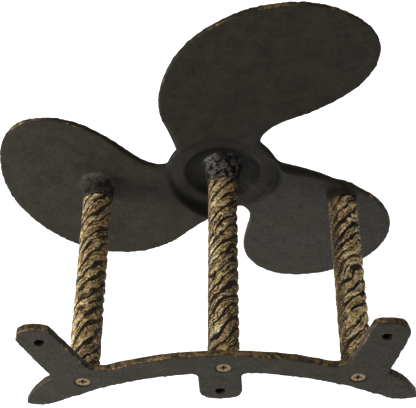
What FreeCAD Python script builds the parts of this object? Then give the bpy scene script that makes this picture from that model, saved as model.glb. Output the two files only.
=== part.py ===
"""Wall-mounted garden hose holder in cast iron: a three-blade ship's propeller on rope-twist posts.

The hose hangs over three posts, between an arched wall bracket with anchor flukes and the propeller.

Frame: millimetres, +Z up as the holder hangs. The origin is the centre of the lower mounting hole on
the wall face of the bracket. The wall face is the plane Y = 0 and the wall is on its +Y side, so the
holder stands out towards -Y. Left and right are those of a person who faces the holder: left is -X.
"""
import FreeCAD
import Part
import math
import os

# ---- posts and screws ----
SIDE_POST_X = 100.0       # side posts stand this far from the centre line
SIDE_POST_Z = 16.0
CENTRE_POST_X = -3.2      # the centre post carries the hub of the propeller, a little to the left
CENTRE_POST_Z = 32.3
ROPE_R = 11.5             # outside radius of a rope post
ROPE_STRANDS = 6
ROPE_STRAND_R = 4.8       # radius of one strand
ROPE_LAY = 66.0           # length of one full turn of a strand, right-handed
ROPE_SECTIONS_PER_TURN = 12
SCREW_R = 3.0             # M6 countersunk screw
SCREW_SPARE = 0.3         # the plate's hole is this much wider in radius
SINK_DEPTH = 4.0          # countersink in the plate
SCREW_HEAD_R = 5.6
SCREW_HEAD_SINK = 0.4     # the head lies this far below the wall face
SCREW_LENGTH = 25.0
STUD_R = 4.0              # M8 stud between a post and its boss
STUD_LENGTH = 25.0
STUD_IN_BOSS = 10.0
THREAD_GAP = 0.05         # radial gap between a thread and its hole
HOLE_SPARE = 1.5          # a blind hole is this much deeper than what goes in it

# ---- wall bracket ----
PLATE_T = 6.0
MOUNT_HOLE_R = 3.75
EAR_HOLE_X = 120.2
EAR_HOLE_Z = 71.0
EAR_FOOT_Z = 25.0
EAR_LEAN = 3.3                # the ears lean to the right: by this much at the height of the holes
ARCH_TOP = (49.2, 200.0)      # height of the crown and radius of the upper edge
ARCH_BOTTOM = (25.2, 214.0)   # the same for the lower edge
TAB_HALF_WIDTH = 15.8
TAB_BOTTOM_Z = -11.6
TAB_CORNER_R = 11.0
TAB_ROOT_R = 5.0
EDGE_R = 1.8                  # soft front edge of the casting
# One side's ear and fluke, as x and z, from the arch's upper edge round to its lower edge.
EAR_INNER_FOOT_X = 91.3
EAR_INNER_TOP = (111.0, 85.3)
EAR_CROWN = (121.0, 87.8)
EAR_OUTER_TOP = (133.0, 83.8)
EAR_CORNER = (136.3, 74.0)
EAR_WAIST = (131.5, 55.0)
NOTCH = (121.6, 22.0)
FLUKE_BACK = (136.4, 6.4)
FLUKE_TIP = (146.2, -14.4)
FLUKE_BELLY = (131.5, -16.4)
FLUKE_ROOT_X = 118.5
# Radii of the corners between them.
EAR_ROOT_R = 12.0
EAR_TOP_R = 5.0
EAR_OUTER_R = 4.0
EAR_CORNER_R = 3.0
NOTCH_R = 1.2
FLUKE_TIP_R = 2.5
FLUKE_ROOT_R = 20.0

# ---- propeller ----
HUB_Y = -182.9            # back face of the hub
BLADES = 3
FIRST_BLADE_ANGLE = 16.4  # degrees from straight up, clockwise for someone at the wall
# Radii of the hub's parts about its axis, each with a depth in front of HUB_Y where it has one.
SNOUT_R = 12.4            # tapered centre boss, in the bowl at the back of the hub
SNOUT_CHAMFER = 0.7
SNOUT_FOOT_R = 14.5
SNOUT_ROOT_R = 5.0
BOWL_DEPTH = 8.0
BOWL_WALL = (26.8, 5.3)
BOWL_LIP = (30.8, 1.2)
BOWL_LIP_MIDDLE = (31.6, 0.3)
BOWL_EDGE_R = 32.8
HUB_R = 46.5
HUB_EDGE_R = 1.5
HUB_RIM_DEPTH = 3.5       # the side of the hub, then the domed front with its round nose
DOME_SHOULDER = (40.0, 8.0)
DOME_WAIST = (30.0, 14.5)
NOSE = (19.0, 20.5)
NOSE_HEIGHT = 7.5
BOSS_R = 12.5             # bosses on the two lower blades
BOSS_ROOT_R = 5.0
BOSS_SINK = 3.0           # a boss starts this deep inside the blade
CENTRE_JOINT_Y = -170.3   # where the posts end
LEFT_JOINT_Y = -162.3
RIGHT_JOINT_Y = -169.5
BLADE_START = -5.2        # back face of a blade at the hub axis, measured in front of HUB_Y
BLADE_RAKE = 0.0635       # forward lean of a blade per millimetre of radius
BLADE_PITCH = 0.146       # forward lean of a blade per millimetre across it
BLADE_MAX_T = 7.5         # thickness of a blade at its middle, and the radius of its crowned front
BLADE_CROWN_R = 900.0
BLADE_MIDDLE = (100.0, 3.0)
BLADE_STEP_R = 43.5       # a blade's back face steps down here to the hub's back face
BLADE_STEP_SPREAD = 0.45  # growth of that radius per millimetre towards the wall
ROOT_MIDDLE = (42.0, -24.0)   # the swelling at the front of a blade's root
ROOT_T = 13.5
ROOT_CROWN_R = 115.0
# Edge of a blade: distance along the blade from the hub axis, and distance across it.
BLADE_EDGE = [(15.0, -40.6), (27.9, -45.8), (65.1, -66.4), (101.2, -72.1), (140.6, -59.6), (168.7, -29.9),
              (182.1, 9.9), (176.6, 49.2), (149.5, 82.0), (118.4, 82.7), (88.0, 62.1), (68.4, 36.9),
              (51.5, 21.3), (36.0, 21.5)]

POSTS = {
    "left": (-SIDE_POST_X, SIDE_POST_Z, LEFT_JOINT_Y),
    "centre": (CENTRE_POST_X, CENTRE_POST_Z, CENTRE_JOINT_Y),
    "right": (SIDE_POST_X, SIDE_POST_Z, RIGHT_JOINT_Y),
}

BIG = 600.0               # larger than the holder, for cutting bodies
THICK = 60.0              # thicker than a blade and its pitch
ACROSS = FreeCAD.Vector(0, 1, 0)


def point(x, z, y=0.0):
    return FreeCAD.Vector(x, y, z)


def line(a, b):
    return Part.LineSegment(a, b).toShape()


def arc(a, middle, b):
    return Part.Arc(a, middle, b).toShape()


def rod(radius, x, z, y_start, y_end):
    """A cylinder along Y."""
    direction = ACROSS if y_end > y_start else -ACROSS
    return Part.makeCylinder(radius, abs(y_end - y_start), point(x, z, y_start), direction)


def cone(r_start, r_end, x, z, y_start, y_end):
    """A cone along Y."""
    direction = ACROSS if y_end > y_start else -ACROSS
    return Part.makeCone(r_start, r_end, abs(y_end - y_start), point(x, z, y_start), direction)


def edges_near(shape, test):
    """The edges whose middle point passes a test."""
    found = []
    for edge in shape.Edges:
        if test(edge.valueAt(0.5 * (edge.FirstParameter + edge.LastParameter)), edge):
            found.append(edge)
    return found


# ---- wall bracket ----

def arch_z(crown_and_radius, x):
    """Height of an arch edge at x."""
    crown, radius = crown_and_radius
    return crown - radius + math.sqrt(radius ** 2 - x ** 2)


def leaning(x, z, lean):
    """A point of an ear, moved sideways in proportion to its height."""
    return point(x + lean * (z - EAR_FOOT_Z) / (EAR_HOLE_Z - EAR_FOOT_Z), z)


def half_plate(lean):
    """The right half of the bracket's outline, as a solid, with its ear leaning outwards."""
    ear_foot = point(EAR_INNER_FOOT_X, arch_z(ARCH_TOP, EAR_INNER_FOOT_X))
    ear_inner_top, ear_crown, ear_outer_top, ear_corner, ear_waist = (
        leaning(*place, lean) for place in (EAR_INNER_TOP, EAR_CROWN, EAR_OUTER_TOP, EAR_CORNER, EAR_WAIST))
    notch, fluke_back, fluke_tip, fluke_belly = (
        point(*place) for place in (NOTCH, FLUKE_BACK, FLUKE_TIP, FLUKE_BELLY))
    fluke_root = point(FLUKE_ROOT_X, arch_z(ARCH_BOTTOM, FLUKE_ROOT_X))
    tab_root = point(TAB_HALF_WIDTH, arch_z(ARCH_BOTTOM, TAB_HALF_WIDTH))
    tab_side = point(TAB_HALF_WIDTH, TAB_BOTTOM_Z + TAB_CORNER_R)
    corner_x = TAB_HALF_WIDTH - TAB_CORNER_R
    corner = TAB_CORNER_R * math.sqrt(0.5)
    tab_corner = point(corner_x + corner, TAB_BOTTOM_Z + TAB_CORNER_R - corner)
    tab_bottom = point(corner_x, TAB_BOTTOM_Z)
    crown_top = point(0, ARCH_TOP[0])
    crown_bottom = point(0, TAB_BOTTOM_Z)
    half_foot = 0.5 * EAR_INNER_FOOT_X
    top_middle = point(half_foot, arch_z(ARCH_TOP, half_foot))
    half_root = 0.5 * (TAB_HALF_WIDTH + FLUKE_ROOT_X)
    bottom_middle = point(half_root, arch_z(ARCH_BOTTOM, half_root))
    outline = Part.Wire([
        arc(crown_top, top_middle, ear_foot),
        line(ear_foot, ear_inner_top),
        arc(ear_inner_top, ear_crown, ear_outer_top),
        line(ear_outer_top, ear_corner),
        line(ear_corner, ear_waist),
        line(ear_waist, notch),
        arc(notch, fluke_back, fluke_tip),
        arc(fluke_tip, fluke_belly, fluke_root),
        arc(fluke_root, bottom_middle, tab_root),
        line(tab_root, tab_side),
        arc(tab_side, tab_corner, tab_bottom),
        line(tab_bottom, crown_bottom),
        line(crown_bottom, crown_top),
    ])
    plate = Part.Face(outline).extrude(-ACROSS * PLATE_T)

    def upright(corner_point, radius, solid):
        edges = edges_near(solid, lambda p, e: math.hypot(p.x - corner_point.x, p.z - corner_point.z) < 0.5
                           and abs(p.y + PLATE_T / 2) < 0.5)
        return solid.makeFillet(radius, edges)

    for place, radius in ((ear_foot, EAR_ROOT_R), (ear_inner_top, EAR_TOP_R), (ear_outer_top, EAR_OUTER_R),
                          (ear_corner, EAR_CORNER_R), (notch, NOTCH_R), (fluke_tip, FLUKE_TIP_R),
                          (fluke_root, FLUKE_ROOT_R), (tab_root, TAB_ROOT_R)):
        plate = upright(place, radius, plate)
    return plate


def wall_bracket():
    left_half = half_plate(-EAR_LEAN).mirror(point(0, 0), FreeCAD.Vector(1, 0, 0))
    plate = half_plate(EAR_LEAN).fuse(left_half).removeSplitter()
    front = edges_near(plate, lambda p, e: abs(p.y + PLATE_T) < 0.01)
    plate = plate.makeFillet(EDGE_R, front)
    for x, z in ((0, 0), (EAR_LEAN - EAR_HOLE_X, EAR_HOLE_Z), (EAR_LEAN + EAR_HOLE_X, EAR_HOLE_Z)):
        plate = plate.cut(rod(MOUNT_HOLE_R, x, z, 1, -PLATE_T - 1))
    sink_r = SCREW_HEAD_R + SCREW_HEAD_SINK
    for x, z, joint_y in POSTS.values():
        plate = plate.cut(rod(SCREW_R + SCREW_SPARE, x, z, 1, -PLATE_T - 1))
        plate = plate.cut(cone(sink_r, sink_r - SINK_DEPTH, x, z, 0, -SINK_DEPTH))
    return plate


# ---- fasteners ----

def cross_recess(x, z, top_y):
    """The tapered cross that a screwdriver fits."""
    depth, span, tip_span, width, tip_width = 3.0, 3.3, 1.1, 0.85, 0.55
    wing = Part.makeWedge(-tip_span, -depth, -tip_width, -width, -span,
                          tip_span, 0.5, tip_width, width, span)
    cross = wing.fuse(wing.rotated(point(0, 0), ACROSS, 90))
    cross.translate(point(x, z, top_y))
    return cross


def screw(x, z):
    """Countersunk machine screw, its thread at the outside diameter."""
    top = -SCREW_HEAD_SINK
    neck = top - (SCREW_HEAD_R - SCREW_R)
    end = top - SCREW_LENGTH
    point_depth = 1.0
    head = cone(SCREW_HEAD_R, SCREW_R, x, z, top, neck)
    shank = rod(SCREW_R, x, z, neck, end + point_depth)
    tip = cone(SCREW_R, SCREW_R - point_depth, x, z, end + point_depth, end)
    return head.fuse([shank, tip]).removeSplitter().cut(cross_recess(x, z, top))


def stud(x, z, joint_y):
    """Threaded stud, half in the post and half in the propeller's boss, with chamfered ends."""
    start = joint_y - STUD_IN_BOSS
    bar = rod(STUD_R, x, z, start, start + STUD_LENGTH)
    return bar.makeChamfer(0.8, edges_near(bar, lambda p, e: len(e.Vertexes) == 1))


# ---- rope posts ----

def rope_section(x, z, y, turn):
    """One cross-section of the rope: an arc for each strand, turned by an angle in degrees."""
    centre_r = ROPE_R - ROPE_STRAND_R
    half = math.pi / ROPE_STRANDS
    reach = math.sqrt(ROPE_STRAND_R ** 2 - (centre_r * math.sin(half)) ** 2)
    valley_r = centre_r * math.cos(half) + reach

    def rim(radius, angle):
        return point(x - radius * math.sin(angle), z + radius * math.cos(angle), y)

    arcs = []
    for strand in range(ROPE_STRANDS):
        angle = math.radians(turn) + 2 * half * strand
        arcs.append(arc(rim(valley_r, angle - half), rim(ROPE_R, angle), rim(valley_r, angle + half)))
    return Part.Wire(arcs)


def rope_post(x, z, joint_y):
    """Rope-twist bar from the bracket to the propeller, tapped at both ends."""
    length = -PLATE_T - joint_y
    turns = length / ROPE_LAY
    steps = math.ceil(turns * ROPE_SECTIONS_PER_TURN)
    sections = []
    for step in range(steps + 1):
        share = step / steps
        sections.append(rope_section(x, z, -PLATE_T - share * length, share * turns * 360))
    post = Part.makeLoft(sections, True, False)
    screw_depth = SCREW_LENGTH + SCREW_HEAD_SINK + HOLE_SPARE
    post = post.cut(rod(SCREW_R + THREAD_GAP, x, z, 0, -screw_depth))
    stud_depth = STUD_LENGTH - STUD_IN_BOSS + HOLE_SPARE
    return post.cut(rod(STUD_R + THREAD_GAP, x, z, joint_y - 1, joint_y + stud_depth))


# ---- propeller ----
# A blade is built in its own directions: u runs out along it from the hub axis, v across it to the
# right of a person at the wall, and w forward, away from the wall, from the back face of the hub.

FORWARD = FreeCAD.Vector(0, 0, 1)


def blade_back(u, v):
    """The point of a blade's flat back face at u, v."""
    return FreeCAD.Vector(u, v, BLADE_START + BLADE_RAKE * u + BLADE_PITCH * v)


def in_blade(x, z, number):
    """A place on the holder as u, v of one blade."""
    angle = math.radians(FIRST_BLADE_ANGLE + number * 360 / BLADES)
    across, rise = CENTRE_POST_X - x, z - CENTRE_POST_Z
    u = across * math.sin(angle) + rise * math.cos(angle)
    v = across * math.cos(angle) - rise * math.sin(angle)
    return u, v


def side_boss(u, v, end_w, prism):
    """Round boss with a flared foot on a blade's back face, trimmed to the blade's edge."""
    back = blade_back(u, v)
    boss = Part.makeCylinder(BOSS_R, back.z + BOSS_SINK - end_w, FreeCAD.Vector(u, v, end_w), FORWARD)
    flare_r = BOSS_R + BOSS_ROOT_R
    soft = BOSS_ROOT_R * (1 - math.sqrt(0.5))
    profile = Part.Wire([
        line(FreeCAD.Vector(0, 0, 1), FreeCAD.Vector(flare_r, 0, 1)),
        line(FreeCAD.Vector(flare_r, 0, 1), FreeCAD.Vector(flare_r, 0, 0)),
        arc(FreeCAD.Vector(flare_r, 0, 0), FreeCAD.Vector(BOSS_R + soft, 0, -soft),
            FreeCAD.Vector(BOSS_R, 0, -BOSS_ROOT_R)),
        line(FreeCAD.Vector(BOSS_R, 0, -BOSS_ROOT_R), FreeCAD.Vector(0, 0, -BOSS_ROOT_R)),
        line(FreeCAD.Vector(0, 0, -BOSS_ROOT_R), FreeCAD.Vector(0, 0, 1)),
    ])
    foot = Part.Face(profile).revolve(FreeCAD.Vector(0, 0, 0), FORWARD, 360)
    foot.Placement = FreeCAD.Placement(back, FreeCAD.Rotation(FORWARD, blade_normal()))
    return boss.fuse(foot).common(prism)


def blade_normal():
    return FreeCAD.Vector(-BLADE_RAKE, -BLADE_PITCH, 1).normalize()


def crowned(middle, thickness, radius):
    """A ball that passes a given thickness in front of a blade's back face at its middle."""
    return Part.makeSphere(radius, blade_back(*middle) - blade_normal() * (radius - thickness))


def blade(bosses):
    """One blade with its root and its bosses, each given as u, v and the w of its end."""
    edge = Part.BSplineCurve()
    edge.interpolate([FreeCAD.Vector(u, v, -THICK) for u, v in BLADE_EDGE])
    rim = edge.toShape()
    root_line = line(rim.Vertexes[-1].Point, rim.Vertexes[0].Point)
    prism = Part.Face(Part.Wire([rim, root_line])).extrude(FORWARD * 2 * THICK)

    front_side = Part.makeBox(BIG, BIG, THICK, FreeCAD.Vector(-BIG / 2, -BIG / 2, 0))
    tilt = FreeCAD.Placement(blade_back(0, 0), FreeCAD.Rotation(FORWARD, blade_normal()))
    front_side.Placement = tilt.multiply(front_side.Placement)
    body = prism.common(front_side)
    plate = body.common(crowned(BLADE_MIDDLE, BLADE_MAX_T, BLADE_CROWN_R))
    root = body.common(crowned(ROOT_MIDDLE, ROOT_T, ROOT_CROWN_R))
    step = Part.makeCone(BLADE_STEP_R, BLADE_STEP_R + BLADE_STEP_SPREAD * THICK, THICK,
                         FreeCAD.Vector(0, 0, 0), -FORWARD)
    bore = Part.makeCylinder(BLADE_STEP_R, THICK, FreeCAD.Vector(0, 0, 0), FORWARD)
    whole = plate.fuse(root).cut(step).cut(bore)
    for u, v, end_w in bosses:
        whole = whole.fuse(side_boss(u, v, end_w, prism))
    return whole


def hub():
    """The hub, turned about its axis: centre boss, bowl, rim and domed front with a round nose."""

    def at(radius, w):
        return point(CENTRE_POST_X + radius, CENTRE_POST_Z, HUB_Y - w)

    def quarter(radius, w, size, sign_r, sign_w):
        """Middle point of a rounded corner about a centre."""
        reach = size * math.sqrt(0.5)
        return at(radius + sign_r * reach, w + sign_w * reach)

    boss_end = HUB_Y - CENTRE_JOINT_Y
    dome = Part.BSplineCurve()
    dome.interpolate([at(HUB_R, HUB_RIM_DEPTH), at(*DOME_SHOULDER), at(*DOME_WAIST), at(*NOSE)])
    # The nose is part of a ball whose centre is on the axis.
    nose_r, nose_w = NOSE
    ball_r = (nose_r ** 2 + NOSE_HEIGHT ** 2) / (2 * NOSE_HEIGHT)
    ball_w = nose_w + NOSE_HEIGHT - ball_r
    half_way = 0.5 * math.asin(nose_r / ball_r)
    nose_middle = at(ball_r * math.sin(half_way), ball_w + ball_r * math.cos(half_way))
    nose_tip = at(0, nose_w + NOSE_HEIGHT)
    snout_root = (SNOUT_FOOT_R + SNOUT_ROOT_R, BOWL_DEPTH - SNOUT_ROOT_R)
    rim_corner = (HUB_R - HUB_EDGE_R, HUB_EDGE_R)
    profile = Part.Wire([
        line(at(0, boss_end), at(SNOUT_R - SNOUT_CHAMFER, boss_end)),
        line(at(SNOUT_R - SNOUT_CHAMFER, boss_end), at(SNOUT_R, boss_end + SNOUT_CHAMFER)),
        line(at(SNOUT_R, boss_end + SNOUT_CHAMFER), at(SNOUT_FOOT_R, snout_root[1])),
        arc(at(SNOUT_FOOT_R, snout_root[1]), quarter(*snout_root, SNOUT_ROOT_R, -1, 1),
            at(snout_root[0], BOWL_DEPTH)),
        arc(at(snout_root[0], BOWL_DEPTH), at(*BOWL_WALL), at(*BOWL_LIP)),
        arc(at(*BOWL_LIP), at(*BOWL_LIP_MIDDLE), at(BOWL_EDGE_R, 0)),
        line(at(BOWL_EDGE_R, 0), at(rim_corner[0], 0)),
        arc(at(rim_corner[0], 0), quarter(*rim_corner, HUB_EDGE_R, 1, -1), at(HUB_R, HUB_EDGE_R)),
        line(at(HUB_R, HUB_EDGE_R), at(HUB_R, HUB_RIM_DEPTH)),
        dome.toShape(),
        arc(at(*NOSE), nose_middle, nose_tip),
        line(nose_tip, at(0, boss_end)),
    ])
    return Part.Face(profile).revolve(at(0, 0), ACROSS, 360)


def nearest_blade(x, z):
    """Number of the blade that lies behind a place on the holder."""
    return max(range(BLADES), key=lambda number: in_blade(x, z, number)[0])


def propeller():
    """One casting: hub, three blades and the bosses for the side posts."""
    whole = hub()
    # Turns u up, v to the right of a person at the wall and w away from the wall.
    stand = FreeCAD.Placement(FreeCAD.Matrix(0, -1, 0, CENTRE_POST_X,
                                             0, 0, -1, HUB_Y,
                                             1, 0, 0, CENTRE_POST_Z))
    bosses = [[] for number in range(BLADES)]
    for side in ("left", "right"):
        x, z, joint_y = POSTS[side]
        number = nearest_blade(x, z)
        bosses[number].append((*in_blade(x, z, number), HUB_Y - joint_y))
    for number in range(BLADES):
        one = blade(bosses[number])
        one.Placement = stand
        one.rotate(point(CENTRE_POST_X, CENTRE_POST_Z), ACROSS, -FIRST_BLADE_ANGLE - number * 360 / BLADES)
        whole = whole.fuse(one)
    for x, z, joint_y in POSTS.values():
        depth = STUD_IN_BOSS + HOLE_SPARE
        whole = whole.cut(rod(STUD_R + THREAD_GAP, x, z, joint_y + 1, joint_y - depth))
    return whole.removeSplitter()


def main():
    os.makedirs("parts", exist_ok=True)
    nodes = {"wall_bracket": wall_bracket(), "propeller": propeller()}
    for side, (x, z, joint_y) in POSTS.items():
        nodes[side + "_rope_post"] = rope_post(x, z, joint_y)
        nodes[side + "_screw"] = screw(x, z)
        nodes[side + "_stud"] = stud(x, z, joint_y)
    for name, shape in nodes.items():
        if not shape.isValid() or len(shape.Solids) != 1:
            raise SystemExit(f"{name} isn't one valid solid: {len(shape.Solids)} solids")
        shape.Solids[0].exportStep(f"parts/{name}.step")
        box = shape.optimalBoundingBox(False)
        print(f"{name:18s} {shape.Volume / 1000:8.1f} cm3   X {box.XMin:7.1f} {box.XMax:7.1f}"
              f"   Y {box.YMin:7.1f} {box.YMax:7.1f}   Z {box.ZMin:7.1f} {box.ZMax:7.1f}")


main()
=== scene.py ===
"""Looks for the garden hose holder: a cast-iron propeller on gilded rope posts, seen from its wall side.

Everything is in metres in the row frame: +Z up, wall on the +Y side, the lower mounting hole at the origin.
Castings are recast from the fixed CAD solids: finely remeshed, softened, roughened like sand-cast iron, and
painted by per-vertex amounts of wear and gilding, and of painted shade and painted highlights. Rope posts
are built strand by strand from formulas, with a bore at each end for the screw and the stud.
"""

import math

import bpy
import numpy as np
from mathutils import Matrix, Vector


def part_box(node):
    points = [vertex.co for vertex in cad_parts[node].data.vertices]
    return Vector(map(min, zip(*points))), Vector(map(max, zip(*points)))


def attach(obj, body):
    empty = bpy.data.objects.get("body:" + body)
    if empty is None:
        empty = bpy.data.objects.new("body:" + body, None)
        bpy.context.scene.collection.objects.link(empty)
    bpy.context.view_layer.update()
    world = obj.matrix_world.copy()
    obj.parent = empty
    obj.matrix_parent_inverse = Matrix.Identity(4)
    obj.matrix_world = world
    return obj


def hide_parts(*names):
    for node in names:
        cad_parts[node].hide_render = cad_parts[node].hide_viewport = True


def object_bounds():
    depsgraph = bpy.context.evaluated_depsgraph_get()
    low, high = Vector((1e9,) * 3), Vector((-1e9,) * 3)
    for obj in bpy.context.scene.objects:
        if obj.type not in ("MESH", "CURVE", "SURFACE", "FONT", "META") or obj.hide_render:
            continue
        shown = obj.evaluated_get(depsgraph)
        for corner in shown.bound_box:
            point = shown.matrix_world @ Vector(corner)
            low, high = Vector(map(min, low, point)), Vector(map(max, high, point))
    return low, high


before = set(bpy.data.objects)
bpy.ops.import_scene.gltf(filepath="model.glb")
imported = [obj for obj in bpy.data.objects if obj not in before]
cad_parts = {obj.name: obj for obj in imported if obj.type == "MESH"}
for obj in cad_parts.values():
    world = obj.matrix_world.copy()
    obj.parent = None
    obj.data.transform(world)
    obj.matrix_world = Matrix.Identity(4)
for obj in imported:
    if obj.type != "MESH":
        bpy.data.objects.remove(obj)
CAD_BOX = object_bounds()
MM = 0.001

# ---- the camera, as fitted to the view ----
CAMERA_AZIMUTH, CAMERA_ELEVATION, CAMERA_ROLL = 182.963, 51.22, -3.543
CAMERA_SHIFT = (9.334, -137.869, 850.971)      # mm: the origin is this far right, up and ahead
FOCAL_PX, FRAME_PX = 1154.952, 416


# ---- numbers and noise ----

def random_lattice(i, j, k, seed):
    """A fixed random number from -1 to 1 for each whole place i, j, k."""
    h = (i.astype(np.uint32) * np.uint32(0x8DA6B343)) ^ (j.astype(np.uint32) * np.uint32(0xD8163841))
    h ^= (k.astype(np.uint32) * np.uint32(0xCB1AB31F)) ^ np.uint32((seed * 0x9E3779B1) & 0xFFFFFFFF)
    h ^= h >> np.uint32(13)
    h *= np.uint32(0x5BD1E995)
    h ^= h >> np.uint32(15)
    h *= np.uint32(0x27D4EB2D)
    h ^= h >> np.uint32(14)
    return h.astype(float) / 2.0 ** 31 - 1.0


def lumps(points, size, seed):
    """Smooth random heights from -1 to 1 over space, in lumps of about one size (mm)."""
    q = points / size
    whole = np.floor(q).astype(np.int64)
    f = q - whole
    f = f * f * (3 - 2 * f)
    total = np.zeros(len(points))
    for a in (0, 1):
        for b in (0, 1):
            for c in (0, 1):
                w = ((f[:, 0] if a else 1 - f[:, 0]) * (f[:, 1] if b else 1 - f[:, 1])
                     * (f[:, 2] if c else 1 - f[:, 2]))
                total += w * random_lattice(whole[:, 0] + a, whole[:, 1] + b, whole[:, 2] + c, seed)
    return total


def ease(x, low, high):
    """0 below low, 1 above high, smooth between."""
    t = np.clip((x - low) / (high - low), 0, 1)
    return t * t * (3 - 2 * t)


# ---- meshes as arrays, in mm ----

def read_points(mesh):
    co = np.empty(len(mesh.vertices) * 3, np.float32)
    mesh.vertices.foreach_get("co", co)
    return co.reshape(-1, 3).astype(float) / MM


def write_points(mesh, points):
    mesh.vertices.foreach_set("co", (points * MM).astype(np.float32).ravel())
    mesh.update()


def read_normals(mesh):
    n = np.empty(len(mesh.vertices) * 3, np.float32)
    mesh.vertex_normals.foreach_get("vector", n)
    return n.reshape(-1, 3).astype(float)


def read_edges(mesh):
    e = np.empty(len(mesh.edges) * 2, np.int32)
    mesh.edges.foreach_get("vertices", e)
    return e.reshape(-1, 2)


def neighbour_mean(values, edges):
    """Mean over the neighbours of each vertex."""
    n = len(values)
    count = np.bincount(edges.ravel(), minlength=n).astype(float)
    count[count == 0] = 1
    columns = values.reshape(n, -1)
    out = np.empty_like(columns)
    for c in range(columns.shape[1]):
        total = np.bincount(edges[:, 0], columns[edges[:, 1], c], n)
        total = total + np.bincount(edges[:, 1], columns[edges[:, 0], c], n)
        out[:, c] = total / count
    return out.reshape(values.shape)


def relax(points, edges, rounds, amount):
    """Softens a surface. The amount, 0 to 1, may differ from vertex to vertex."""
    amount = np.broadcast_to(amount, len(points))[:, None]
    for _ in range(rounds):
        points = points + amount * (neighbour_mean(points, edges) - points)
    return points


def set_amount(mesh, name, values):
    layer = mesh.attributes.new(name, "FLOAT", "POINT")
    layer.data.foreach_set("value", np.clip(values, 0, 1).astype(np.float32))


def smooth_shading(mesh):
    mesh.polygons.foreach_set("use_smooth", np.ones(len(mesh.polygons), bool))


def link(name, mesh):
    obj = bpy.data.objects.new(name, mesh)
    bpy.context.scene.collection.objects.link(obj)
    return obj


def recast(node, name, voxel_mm):
    """A fine even mesh of a CAD node, as a new object."""
    obj = link(name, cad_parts[node].data.copy())
    remesh = obj.modifiers.new("voxels", "REMESH")
    remesh.mode = "VOXEL"
    remesh.voxel_size = voxel_mm * MM
    fine = bpy.data.meshes.new_from_object(obj.evaluated_get(bpy.context.evaluated_depsgraph_get()))
    obj.modifiers.clear()
    obj.data = fine
    fine.materials.clear()
    smooth_shading(fine)
    return obj


def convexity(points, normals, edges, voxel_mm, rounds):
    """How sharply the surface stands out, averaged over a small neighbourhood."""
    bend = -np.einsum("ij,ij->i", neighbour_mean(points, edges) - points, normals) / voxel_mm
    for _ in range(rounds):
        bend = 0.5 * bend + 0.5 * neighbour_mean(bend, edges)
    return bend


def worn_edges(bend, least, most):
    """From 0 to 1 over a span of the sharpest places, both ends given in percent of the surface."""
    return ease(bend, *np.percentile(bend, (100 - most, 100 - least)))


def hollows(points, normals, edges, rounds):
    """How far below its softened self the surface lies (mm): positive in corners and grooves."""
    return np.einsum("ij,ij->i", relax(points, edges, rounds, 0.5) - points, normals)


def sand_cast(obj, coarse, middle, fine, seed):
    """Moves the surface along its normals by the uneven skin of a sand casting."""
    mesh = obj.data
    points = read_points(mesh)
    skin = (coarse * lumps(points, 26, seed) + middle * lumps(points, 7.0, seed + 1)
            + fine * lumps(points, 2.6, seed + 2) + fine * lumps(points, 1.5, seed + 3))
    pits = ease(lumps(points, 3.2, seed + 4), 0.72, 0.9) * ease(lumps(points, 19, seed + 5), 0.0, 0.5)
    write_points(mesh, points + read_normals(mesh) * (skin - 0.35 * pits)[:, None])


# ---- materials ----

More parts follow.
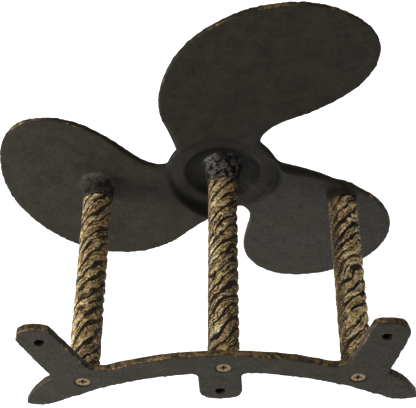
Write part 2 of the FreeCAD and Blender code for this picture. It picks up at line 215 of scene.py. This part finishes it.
class Nodes:
    """Short names for making shader nodes."""

    def __init__(self, name):
        self.material = bpy.data.materials.new(name)
        self.material.use_nodes = True
        self.tree = self.material.node_tree
        self.shader = self.tree.nodes["Principled BSDF"]
        self.place = self.add("ShaderNodeTexCoord").outputs["Object"]

    def add(self, kind, **settings):
        node = self.tree.nodes.new(kind)
        for key, value in settings.items():
            setattr(node, key, value)
        return node

    def feed(self, socket, value):
        if isinstance(value, bpy.types.NodeSocket):
            self.tree.links.new(value, socket)
        else:
            socket.default_value = value

    def noise(self, size_mm, detail=3.0, roughness=0.55, stretch=None):
        node = self.add("ShaderNodeTexNoise")
        place = self.place
        if stretch:
            mapping = self.add("ShaderNodeMapping")
            mapping.inputs["Scale"].default_value = stretch
            self.feed(mapping.inputs["Vector"], place)
            place = mapping.outputs["Vector"]
        self.feed(node.inputs["Vector"], place)
        node.inputs["Scale"].default_value = 1 / (size_mm * MM)
        node.inputs["Detail"].default_value = detail
        node.inputs["Roughness"].default_value = roughness
        return node.outputs["Fac"]

    def crackle(self, size_mm):
        """0 on the borders of small cells, larger inside them."""
        node = self.add("ShaderNodeTexVoronoi", feature="DISTANCE_TO_EDGE")
        self.feed(node.inputs["Vector"], self.place)
        node.inputs["Scale"].default_value = 1 / (size_mm * MM)
        return node.outputs["Distance"]

    def spread(self, value, low, high, to_low=0.0, to_high=1.0):
        node = self.add("ShaderNodeMapRange", interpolation_type="SMOOTHSTEP")
        self.feed(node.inputs["Value"], value)
        for key, number in (("From Min", low), ("From Max", high), ("To Min", to_low), ("To Max", to_high)):
            node.inputs[key].default_value = number
        return node.outputs["Result"]

    def math(self, operation, a, b=0.0):
        node = self.add("ShaderNodeMath", operation=operation)
        self.feed(node.inputs[0], a)
        self.feed(node.inputs[1], b)
        return node.outputs["Value"]

    def mix(self, share, a, b):
        node = self.add("ShaderNodeMix", data_type="RGBA")
        self.feed(node.inputs["Factor"], share)
        self.feed(node.inputs[6], a)
        self.feed(node.inputs[7], b)
        return node.outputs[2]

    def amount(self, name):
        return self.add("ShaderNodeAttribute", attribute_name=name).outputs["Fac"]

    def bump(self, height, distance_mm, strength=1.0, under=None):
        node = self.add("ShaderNodeBump")
        node.inputs["Distance"].default_value = distance_mm * MM
        node.inputs["Strength"].default_value = strength
        self.feed(node.inputs["Height"], height)
        if under is not None:
            self.feed(node.inputs["Normal"], under)
        return node.outputs["Normal"]

    def finish(self, colour, roughness, metallic, normal, specular=0.5):
        self.feed(self.shader.inputs["Base Color"], colour)
        self.feed(self.shader.inputs["Roughness"], roughness)
        self.feed(self.shader.inputs["Metallic"], metallic)
        self.feed(self.shader.inputs["Normal"], normal)
        self.shader.inputs["Specular IOR Level"].default_value = specular
        return self.material


def rgb(r, g, b):
    return (r, g, b, 1.0)


def iron_paint(name, dark, light, gilding):
    """Dark matt paint on cast iron: painted shade near black in the hollows, painted grey highlights on the
    rough boss roots, old bronze where gilt and wear are high.
    """
    n = Nodes(name)
    painted_shade = n.amount("painted_shade")
    painted_sheen = n.amount("painted_sheen")
    colour = n.mix(n.spread(n.noise(11, 4, 0.6), 0.36, 0.64), dark, light)
    speck = n.spread(n.noise(1.3, 2, 0.6), 0.40, 0.66)
    specks = rgb(light[0] * 2.0, light[1] * 2.0, light[2] * 1.95)
    colour = n.mix(n.math("MULTIPLY", speck, 0.45), colour, specks)
    stain = n.spread(n.noise(34, 3, 0.55), 0.52, 0.72)
    rust = rgb(light[0] * 1.3, light[1] * 1.1, light[2] * 0.8)
    colour = n.mix(n.math("MULTIPLY", stain, 0.4), colour, rust)
    # Painted shade: near black in the hollows, the bowl and the holes.
    colour = n.mix(n.math("MULTIPLY", painted_shade, 0.88), colour, rgb(0.0022, 0.0020, 0.0020))
    # Painted highlight: finely crackled light grey glints on the upward rough-cast roots of the snout and a
    # boss, where light from above catches them.
    cracks = n.math("MULTIPLY", n.spread(n.crackle(1.2), 0.02, 0.22, 1.0, 0.0),
                    n.spread(n.noise(1.1, 2, 0.7), 0.38, 0.60))
    painted_sheen_spots = n.math("MULTIPLY", n.math("MULTIPLY", cracks, painted_sheen),
                   n.spread(n.noise(5.5, 2, 0.5), 0.37, 0.57))
    colour = n.mix(painted_sheen_spots, colour, rgb(0.215, 0.203, 0.205))
    blotches = n.math("ADD", n.math("MULTIPLY", n.noise(5.0, 4, 0.65), 0.6),
                      n.math("MULTIPLY", n.noise(0.9, 3, 0.7), 0.4))
    gilt = n.math("ADD", n.math("MULTIPLY", n.amount("gilt"), gilding), n.amount("wear"))
    gilt = n.spread(n.math("MULTIPLY", gilt, n.spread(blotches, 0.36, 0.62)), 0.05, 0.95)
    bronze = n.mix(n.spread(n.noise(3.0, 3, 0.6), 0.35, 0.65),
                   rgb(0.105, 0.070, 0.032), rgb(0.32, 0.215, 0.095))
    colour = n.mix(gilt, colour, bronze)
    rough = n.spread(n.noise(2.2, 3, 0.6), 0.3, 0.7, 0.54, 0.76)
    rough = n.math("SUBTRACT", rough, n.math("MULTIPLY", n.math("ADD", gilt, painted_sheen), 0.16))
    metal = n.math("MULTIPLY", gilt, 0.8)
    normal = n.bump(n.noise(1.1, 4, 0.65), 0.18)
    normal = n.bump(n.noise(0.45, 2, 0.6), 0.06, under=normal)
    return n.finish(colour, rough, metal, normal, specular=0.14)


def rope_paint(name):
    """Antique gold over the high strands in grains, near-black base coat in the grooves, with painted shade
    by height and side, and painted glints.
    """
    n = Nodes(name)
    grain = n.math("SUBTRACT", n.noise(1.0, 2, 0.7), 0.5)
    spots = n.math("SUBTRACT", n.noise(2.6, 3, 0.65), 0.5)
    high = n.amount("high")
    cover = n.math("ADD", n.math("MULTIPLY", high, 0.62), n.math("MULTIPLY", n.amount("brushed_and_shaded"), 0.55))
    uneven = n.math("ADD", n.math("MULTIPLY", grain, 1.7), n.math("MULTIPLY", spots, 0.9))
    cover = n.math("ADD", cover, uneven)
    cover = n.spread(cover, 0.74, 0.98)
    # Loose grains of gold where the coat is thin: on the side that is painted in shade.
    thin = n.spread(n.amount("brushed_and_shaded"), 0.0, 0.7, 0.85, 0.0)
    grains = n.math("MULTIPLY", n.spread(n.noise(0.9, 2, 0.7), 0.52, 0.60), thin)
    cover = n.math("MAXIMUM", cover, grains)
    gold = n.mix(n.spread(n.noise(4.0, 4, 0.6), 0.38, 0.62),
                 rgb(0.24, 0.152, 0.060), rgb(0.82, 0.585, 0.25))
    # Painted shade by height: the gold turns brown lower down the strands and towards the grooves.
    gold = n.mix(n.spread(high, 0.85, 0.35), gold, rgb(0.15, 0.092, 0.04))
    gold = n.mix(n.spread(n.noise(1.2, 2, 0.6), 0.48, 0.64), gold, rgb(0.12, 0.075, 0.034))
    # Painted glints: pale yellow specks on the highest ridges, and streaks along the strands on the lit
    # side.
    painted_glint = n.math("MULTIPLY", n.spread(n.noise(1.1, 2, 0.7), 0.60, 0.67), n.spread(high, 0.6, 0.95))
    painted_glint_streaks = n.math("MULTIPLY", n.amount("painted_glint_streaks"), n.spread(n.noise(0.9, 2, 0.6), 0.42, 0.56))
    painted_glint = n.math("MAXIMUM", painted_glint, painted_glint_streaks)
    gold = n.mix(painted_glint, gold, rgb(1.0, 0.90, 0.62))
    under = n.mix(n.spread(n.noise(6.0, 3), 0.35, 0.65), rgb(0.012, 0.010, 0.009), rgb(0.028, 0.022, 0.018))
    # Painted shade by height: the near-black base coat is lifted to brown on the high strands and left
    # darkest in the grooves.
    under = n.mix(n.math("MULTIPLY", n.spread(high, 0.45, 0.9), 0.75), under, rgb(0.075, 0.048, 0.024))
    colour = n.mix(cover, under, gold)
    rough = n.spread(n.noise(1.6, 3, 0.6), 0.3, 0.7, 0.36, 0.62)
    rough = n.math("ADD", rough, n.spread(cover, 0.0, 1.0, 0.25, 0.0))
    metal = n.math("MULTIPLY", cover, 0.72)
    normal = n.bump(n.noise(1.0, 4, 0.7), 0.45)
    normal = n.bump(cover, 0.10, under=normal)
    return n.finish(colour, rough, metal, normal, specular=0.12)


def brass_paint(name):
    """Antique brass of the screws: warm worn metal with painted shade in the recess."""
    n = Nodes(name)
    worn = n.amount("wear")
    painted_shade = n.amount("painted_shade")
    tone = n.mix(n.spread(n.noise(1.2, 3, 0.6), 0.35, 0.65),
                 rgb(0.095, 0.066, 0.030), rgb(0.24, 0.17, 0.078))
    tone = n.mix(n.math("MULTIPLY", worn, 0.8), tone, rgb(0.38, 0.28, 0.135))
    tone = n.mix(n.spread(n.noise(0.6, 2, 0.6), 0.56, 0.7), tone, rgb(0.07, 0.05, 0.03))
    # Painted shade: near black in the recess.
    tone = n.mix(painted_shade, tone, rgb(0.012, 0.01, 0.008))
    rough = n.spread(n.noise(0.8, 3), 0.3, 0.7, 0.3, 0.5)
    metal = n.spread(painted_shade, 0.0, 1.0, 0.9, 0.2)
    return n.finish(tone, rough, metal, n.bump(n.noise(0.5, 3, 0.6), 0.03), specular=0.5)


def steel_paint(name):
    """Plain turned steel of the studs, with fine rings and a little oil stain."""
    n = Nodes(name)
    rings = n.noise(0.5, 2, 0.5, stretch=(0.05, 1.0, 0.05))
    tone = n.mix(n.spread(n.noise(5.0, 3), 0.4, 0.7), rgb(0.33, 0.32, 0.31), rgb(0.17, 0.15, 0.13))
    return n.finish(tone, n.spread(rings, 0.3, 0.7, 0.25, 0.45), 1.0, n.bump(rings, 0.04), specular=0.5)


# ---- castings ----

def stud_axes():
    """Where the axes of the left, centre and right posts cross the wall plane, as x and z (mm)."""
    places = {}
    for side in ("left", "centre", "right"):
        low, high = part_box(side + "_stud")
        places[side] = 0.5 * (np.array(low) + np.array(high))[[0, 2]] / MM
    return places


def distance_to(points, place):
    """Distance from an axis along Y."""
    return np.hypot(points[:, 0] - place[0], points[:, 2] - place[1])


HOLES = ((0.0, 0.0), (-116.9, 71.0), (123.5, 71.0))     # mounting holes, as x and z (mm)
BOWL_R, SNOUT_FOOT_R, BOSS_FOOT_R = 32.5, 19.5, 17.5
STEP_R = 44     # the blades stand up from the hub here


def propeller():
    """The propeller: soft fillets, chipped edges, and painted shade in the bowl and corners."""
    voxel = 1.05
    axes = stud_axes()
    obj = recast("propeller", "propeller_casting", voxel)
    mesh = obj.data
    edges = read_edges(mesh)
    points = relax(read_points(mesh), edges, 3, 0.5)
    radius = distance_to(points, axes["centre"])
    front = 1 - ease(read_normals(mesh)[:, 1], -0.6, -0.1)
    root = ease(radius, STEP_R - 4, STEP_R + 2) * (1 - ease(radius, STEP_R + 22, STEP_R + 48))
    above = ease((points[:, 2] - axes["centre"][1]) / radius, -0.3, 0.5)
    points = relax(points, edges, 40, 0.5 * root * np.maximum(front, 0.10 + 0.9 * above))
    to_boss = np.minimum(distance_to(points, axes["left"]), distance_to(points, axes["right"]))
    points = relax(points, edges, 12, 0.5 * ease(to_boss, 11.5, 13.5) * (1 - ease(to_boss, 20, 26)))
    write_points(mesh, points)
    sand_cast(obj, 0.28, 0.13, 0.05, 11)

    points, normals = read_points(mesh), read_normals(mesh)
    back = ease(normals[:, 1], -0.3, 0.1)
    radius = distance_to(points, axes["centre"])
    to_boss = np.minimum(distance_to(points, axes["left"]), distance_to(points, axes["right"]))
    snout = ease(radius, 10.0, 12.0) * (1 - ease(radius, SNOUT_FOOT_R - 3.0, SNOUT_FOOT_R + 1.0))
    boss_foot = ease(to_boss, 10.0, 12.0) * (1 - ease(to_boss, BOSS_FOOT_R - 3.0, BOSS_FOOT_R + 2.0))
    # Painted highlight: grey glints on the upward faces of the snout and of the boss on the +X side, as if
    # lit from above.
    upward = ease(normals[:, 2], 0.05, 0.6)
    painted_sheen = back * upward * (snout + 0.3 * boss_foot * (points[:, 0] > 0))
    bend = convexity(points, normals, edges, voxel, 2)
    rim = worn_edges(bend, 1.2, 6.0)
    chips = 0.28 * lumps(points, 4.5, 27) + 0.22 * lumps(points, 2.2, 28)
    points = points + normals * (rim * chips)[:, None]
    write_points(mesh, points)
    # Painted shade: darker in the hollows and corners, in the bowl round the snout, and over the hub ring.
    low = ease(hollows(points, normals, edges, 30), 0.04, 0.45) * (1 - 0.75 * boss_foot)
    bowl = 1 - ease(radius, BOWL_R - 3.5, BOWL_R + 0.5)
    bowl *= 0.80 + 0.20 * ease(lumps(points, 9, 61), -0.3, 0.5)
    bowl *= 1 - 0.35 * snout - 0.18 * ease(radius, 22.0, 23.5) * (1 - ease(radius, 25.5, 27.5))
    hub_ring = 0.42 * (1 - ease(radius, STEP_R - 1, STEP_R + 8))
    hub_ring *= 0.5 + 0.5 * ease(lumps(points, 14, 71), -0.5, 0.5)
    # Painted shade on the step from the hub up to the blades, whose wall looks towards the axis, and along
    # the lower side of the hub's edge.
    outwards = (points[:, [0, 2]] - axes["centre"]) / np.maximum(radius, 1)[:, None]
    towards_axis = -np.einsum("ij,ij->i", normals[:, [0, 2]], outwards)
    step = 0.72 * ease(towards_axis, 0.12, 0.5)
    step *= ease(radius, STEP_R - 4, STEP_R - 1) * (1 - ease(radius, STEP_R + 8, STEP_R + 12))
    below = 1 - ease(outwards[:, 1], 0.0, 0.5)
    below *= ease(radius, STEP_R - 4, STEP_R) * (1 - ease(radius, STEP_R + 2, STEP_R + 3))
    step = np.maximum(step, 0.38 * below)
    set_amount(mesh, "painted_shade", np.maximum(np.maximum(low, hub_ring), np.maximum(bowl, step)) * back)
    set_amount(mesh, "painted_sheen", painted_sheen)
    set_amount(mesh, "wear", rim * (0.15 + 0.60 * ease(lumps(points, 13, 31), -0.3, 0.5)))
    set_amount(mesh, "gilt", 1 - ease(normals[:, 1], -0.35, 0.35))
    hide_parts("propeller")
    return obj


def bracket():
    """The wall bracket: a plain dark wall face, and bronze dusting on every other side."""
    voxel = 0.75
    obj = recast("wall_bracket", "bracket_casting", voxel)
    mesh = obj.data
    edges = read_edges(mesh)
    write_points(mesh, relax(read_points(mesh), edges, 3, 0.5))
    sand_cast(obj, 0.25, 0.17, 0.06, 41)
    points, normals = read_points(mesh), read_normals(mesh)
    bend = convexity(points, normals, edges, voxel, 2)
    rim = worn_edges(bend, 3.0, 14.0)
    chips = 0.30 * lumps(points, 4.5, 57) + 0.22 * lumps(points, 2.2, 58)
    points = points + normals * (rim * chips)[:, None]
    write_points(mesh, points)
    axes = stud_axes()
    # Painted shade inside the mounting holes and the stud holes.
    inside = np.zeros(len(points))
    for place, hole_r in [(hole, 3.75) for hole in HOLES] + [(axes[side], 6.3) for side in axes]:
        inside = np.maximum(inside, 1 - ease(distance_to(points, place), hole_r - 0.2, hole_r + 0.9))
    set_amount(mesh, "painted_shade", inside)
    set_amount(mesh, "wear", (1 - inside) * rim * (0.25 + 0.6 * ease(lumps(points, 12, 51), -0.4, 0.4)))
    on_top = np.maximum(ease(normals[:, 2], 0.6, 0.97), ease(-normals[:, 1], 0.3, 0.8))
    set_amount(mesh, "gilt", (1 - inside) * (1 - ease(normals[:, 1], 0.1, 0.6)) * (0.25 + 0.75 * on_top))
    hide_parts("wall_bracket")
    return obj


# ---- rope posts ----

STRANDS = 6
LAY = 66.0
ROUND_STEPS, LONG_STEP = 264, 0.45
SCREW_BORE_R, BORE_GAP, BORE_SPARE = 3.05, 0.05, 1.0     # mm
GROOVE_DEPTH, FIBRE_DEPTH, GRAIN_HEIGHT, WAVE_HEIGHT = 0.62, 0.45, 0.3, 0.24     # mm
SKIN_DROP, PROUDEST = 0.35, 0.3     # mm: the mean skin lies this far in, and nothing stands further out


def rope_post(side, seed, gilt_and_light_towards):
    """One cast rope bar: six strands of uneven width, with fibres, gaps and a grainy skin."""
    low, high = (np.array(c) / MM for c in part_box(side + "_rope_post"))
    middle = 0.5 * (low + high)
    outside = 0.5 * (high[0] - low[0])
    start, end = high[1], low[1]
    length = start - end
    long_steps = int(round(length / LONG_STEP))
    turn = np.arange(ROUND_STEPS) * 2 * math.pi / ROUND_STEPS
    along = np.linspace(0, 1, long_steps + 1) * length
    a, s = np.meshgrid(turn, along)
    a, s = a.ravel(), s.ravel()
    # Points on a plain bar, for noise without a seam.
    bar = np.stack([middle[0] - outside * np.sin(a), start - s, middle[2] + outside * np.cos(a)], 1)
    drift = 0.36 * lumps(bar, 24, seed) + 0.26 * lumps(bar, 10, seed + 1) + 0.13 * lumps(bar, 4.2, seed + 2)
    phase = a / (2 * math.pi) * STRANDS - s / LAY * STRANDS + drift
    strand = np.floor(phase) % STRANDS
    from_crown = np.abs(phase - np.floor(phase) - 0.5)
    # Strands of uneven width stand between grooves, and some grooves close for a while.
    width = 0.36 + 0.08 * lumps(bar, 7, seed + 3)
    groove = ease(from_crown, width - 0.12, width + 0.08)
    groove *= 0.25 + 0.75 * ease(lumps(bar + 40 * strand[:, None], 11, seed + 4), -0.6, 0.0)
    # Finer grooves part the fibres of a strand.
    inner = phase * 2.4 + 0.7 * lumps(bar, 6, seed + 5) + 0.33 * strand
    inner_gap = np.abs(inner - np.round(inner))
    fibres = (1 - ease(inner_gap, 0.05, 0.28)) * ease(lumps(bar, 8, seed + 6), -0.45, 0.15)
    grain = 0.5 * lumps(bar, 1.9, seed + 7) + 0.5 * lumps(bar, 1.2, seed + 8)
    waves = lumps(bar, 5.0, seed + 9)
    crown = 0.5 * (1 - 4 * from_crown ** 2)
    relief = crown - GROOVE_DEPTH * groove - FIBRE_DEPTH * fibres
    relief += GRAIN_HEIGHT * grain + WAVE_HEIGHT * waves - SKIN_DROP
    radius = outside + np.minimum(relief, PROUDEST)
    ends = np.minimum(s, length - s)
    radius -= 0.9 * (1 - ease(ends, 0.0, 1.4))
    points = np.stack([middle[0] - radius * np.sin(a), start - s, middle[2] + radius * np.cos(a)], 1)
    # A tapped bore at each end: a rim ring and a bottom ring, then the middle of the bottom.
    stud_low, stud_high = (np.array(c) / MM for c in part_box(side + "_stud"))
    screw_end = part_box(side + "_screw")[0][1] / MM
    stud_r = 0.5 * (stud_high[0] - stud_low[0]) + BORE_GAP
    bores = ((start, screw_end - BORE_SPARE, SCREW_BORE_R), (end, stud_high[1] + BORE_SPARE, stud_r))
    for mouth, bottom, bore_r in bores:
        for depth in (mouth, bottom):
            ring = np.stack([middle[0] - bore_r * np.sin(turn), np.full(ROUND_STEPS, depth),
                             middle[2] + bore_r * np.cos(turn)], 1)
            points = np.vstack([points, ring])
        points = np.vstack([points, [[middle[0], bottom, middle[2]]]])

    i = np.arange(long_steps)[:, None] * ROUND_STEPS
    j = np.arange(ROUND_STEPS)[None, :]
    k = (j + 1) % ROUND_STEPS
    quads = np.stack([i + j, i + k, i + ROUND_STEPS + k, i + ROUND_STEPS + j], -1).reshape(-1, 4)
    j, k = j[0], k[0]
    last_ring = long_steps * ROUND_STEPS
    faces = quads.tolist()
    for outer, inner, b, c in ((0, last_ring + ROUND_STEPS, k, j),
                               (last_ring, last_ring + 3 * ROUND_STEPS + 1, j, k)):
        bottom = inner + ROUND_STEPS
        faces += np.stack([outer + b, outer + c, inner + c, inner + b], -1).tolist()
        faces += np.stack([inner + b, inner + c, bottom + c, bottom + b], -1).tolist()
        faces += [(bottom + int(p), bottom + int(q), bottom + ROUND_STEPS) for p, q in zip(b, c)]
    mesh = bpy.data.meshes.new(side + "_rope")
    mesh.from_pydata(np.ascontiguousarray(points * MM).tolist(), [], faces)
    smooth_shading(mesh)
    high_amount = ease(1 - 1.0 * groove - 0.66 * fibres + 0.3 * waves + 0.25 * grain, -0.1, 1.0)
    # The gold was laid on from above and a little from one side. It ends short there, and fades out
    # on the other side. The same amount paints shade: a darker shaded side and a dark line where the gold
    # ends short.
    away = (a - gilt_and_light_towards + math.pi) % (2 * math.pi) - math.pi
    brushed_and_shaded = ease(away, -1.15, -0.65) * (1 - 0.85 * ease(away, 0.25, 1.30))
    brushed_and_shaded = np.maximum(brushed_and_shaded, 0.6 * ease(np.abs(away), 1.9, 2.5))
    brushed_and_shaded *= 0.8 + 0.2 * ease(lumps(bar, 17, seed + 10), -0.4, 0.4)
    # Painted glints: short streaks along the strands on the side the light comes from.
    lengthwise = np.stack([phase * 9.0, s / 6.5, 7.3 * strand], 1)
    painted_glint_streaks = ease(lumps(lengthwise, 1.0, seed + 11), 0.15, 0.5) * (1 - ease(np.abs(away + 0.35), 0.3, 1.0))
    bare = np.zeros(len(points) - len(a))
    set_amount(mesh, "high", np.append(high_amount, bare))
    set_amount(mesh, "brushed_and_shaded", np.append(brushed_and_shaded, bare))
    set_amount(mesh, "painted_glint_streaks", np.append(painted_glint_streaks * high_amount, bare))
    obj = link(side + "_rope", mesh)
    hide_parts(side + "_rope_post")
    return obj


# ---- screws ----

def screw(side):
    """A screw with soft stamped edges, and painted shade in its recess and round the edge of its head."""
    voxel = 0.17
    obj = recast(side + "_screw", side + "_brass_screw", voxel)
    mesh = obj.data
    edges = read_edges(mesh)
    points = relax(read_points(mesh), edges, 3, 0.5)
    write_points(mesh, points)
    normals = read_normals(mesh)
    top = points[:, 1].max()
    middle = 0.5 * (points.min(0) + points.max(0))
    radius = np.hypot(points[:, 0] - middle[0], points[:, 2] - middle[2])
    bend = convexity(points, normals, edges, voxel, 3)
    set_amount(mesh, "wear", ease(bend, 0.05, 0.3))
    # Painted shade in the recess and round the edge of the head.
    painted_shade = ease(top - points[:, 1], 0.12, 0.7) * (radius < 4.4) + ease(radius, 4.95, 5.35) * 0.95
    set_amount(mesh, "painted_shade", painted_shade)
    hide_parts(side + "_screw")
    return obj


PROPELLER_IRON = iron_paint(
    "propeller_iron", rgb(0.0063, 0.0054, 0.0034), rgb(0.0125, 0.0106, 0.0067), 0.28)
BRACKET_IRON = iron_paint(
    "bracket_iron", rgb(0.0083, 0.0073, 0.0048), rgb(0.0156, 0.0138, 0.0094), 0.95)
GILDED_ROPE = rope_paint("gilded_rope")
ANTIQUE_BRASS = brass_paint("antique_brass")
STUD_STEEL = steel_paint("stud_steel")


def fit_out(obj, material):
    obj.data.materials.clear()
    obj.data.materials.append(material)
    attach(obj, "root")


fit_out(propeller(), PROPELLER_IRON)
fit_out(bracket(), BRACKET_IRON)
for side, seed, gilt_and_light_towards in (
        ("left", 101, 0.35), ("centre", 131, -0.16), ("right", 171, -0.25)):
    fit_out(rope_post(side, seed, gilt_and_light_towards), GILDED_ROPE)
    fit_out(screw(side), ANTIQUE_BRASS)
    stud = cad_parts[side + "_stud"]
    stud.data.materials.clear()
    stud.data.materials.append(STUD_STEEL)


# ---- stage, light and camera ----

def stage():
    """A plain pale floor, well below the hanging holder."""
    size, drop = 6.0, 0.10
    low = CAD_BOX[0].z - drop
    mesh = bpy.data.meshes.new("floor")
    h = size / 2
    mesh.from_pydata([(-h, -h, low), (h, -h, low), (h, h, low), (-h, h, low)], [], [(0, 1, 2, 3)])
    floor = link("floor", mesh)
    n = Nodes("pale_floor")
    tone = n.mix(n.noise(400, 2), rgb(0.86, 0.86, 0.85), rgb(0.90, 0.90, 0.89))
    mesh.materials.append(n.finish(tone, 0.9, 0.0, n.bump(n.noise(3, 2), 0.05), specular=0.1))
    n.shader.inputs["Emission Color"].default_value = rgb(1, 1, 1)
    n.shader.inputs["Emission Strength"].default_value = 0.72


def soft_light(name, place, aim, size, watts, colour=(1, 1, 1)):
    data = bpy.data.lights.new(name, "AREA")
    data.shape = "DISK"
    data.size = size
    data.energy = watts
    data.color = colour
    obj = bpy.data.objects.new(name, data)
    obj.location = place
    obj.rotation_mode = "QUATERNION"
    obj.rotation_quaternion = (Vector(aim) - Vector(place)).to_track_quat("-Z", "Y")
    bpy.context.scene.collection.objects.link(obj)


def studio():
    world = bpy.data.worlds.new("studio")
    bpy.context.scene.world = world
    world.use_nodes = True
    background = world.node_tree.nodes["Background"]
    background.inputs["Color"].default_value = (1.0, 0.99, 0.97, 1)
    background.inputs["Strength"].default_value = 0.16
    aim = (0.0, -0.12, 0.03)
    soft_light("key", (1.35, 0.66, 0.10), aim, 0.6, 33, (1.0, 0.97, 0.92))
    soft_light("top", (0.3, 0.25, 1.4), aim, 0.6, 11)
    soft_light("front", (0.3, -1.5, -0.05), aim, 0.9, 10)


def camera():
    a, e, r = (math.radians(v) for v in (CAMERA_AZIMUTH, CAMERA_ELEVATION, CAMERA_ROLL))
    back = Vector((math.sin(a) * math.cos(e), -math.cos(a) * math.cos(e), math.sin(e)))
    level = (-back).cross(Vector((0, 0, 1))).normalized()
    upright = level.cross(-back)
    right = level * math.cos(r) + upright * math.sin(r)
    up = upright * math.cos(r) - level * math.sin(r)
    tx, ty, tz = CAMERA_SHIFT
    place = -(right * tx + up * ty - back * tz) * MM
    data = bpy.data.cameras.new("camera")
    data.sensor_width = 36.0
    data.lens = data.sensor_width * FOCAL_PX / FRAME_PX
    obj = bpy.data.objects.new("camera", data)
    turned = Matrix((right, up, back)).transposed().to_4x4()
    turned.translation = place
    obj.matrix_world = turned
    bpy.context.scene.collection.objects.link(obj)
    bpy.context.scene.camera = obj


stage()
studio()
camera()
bpy.context.scene.view_settings.view_transform = "Standard"
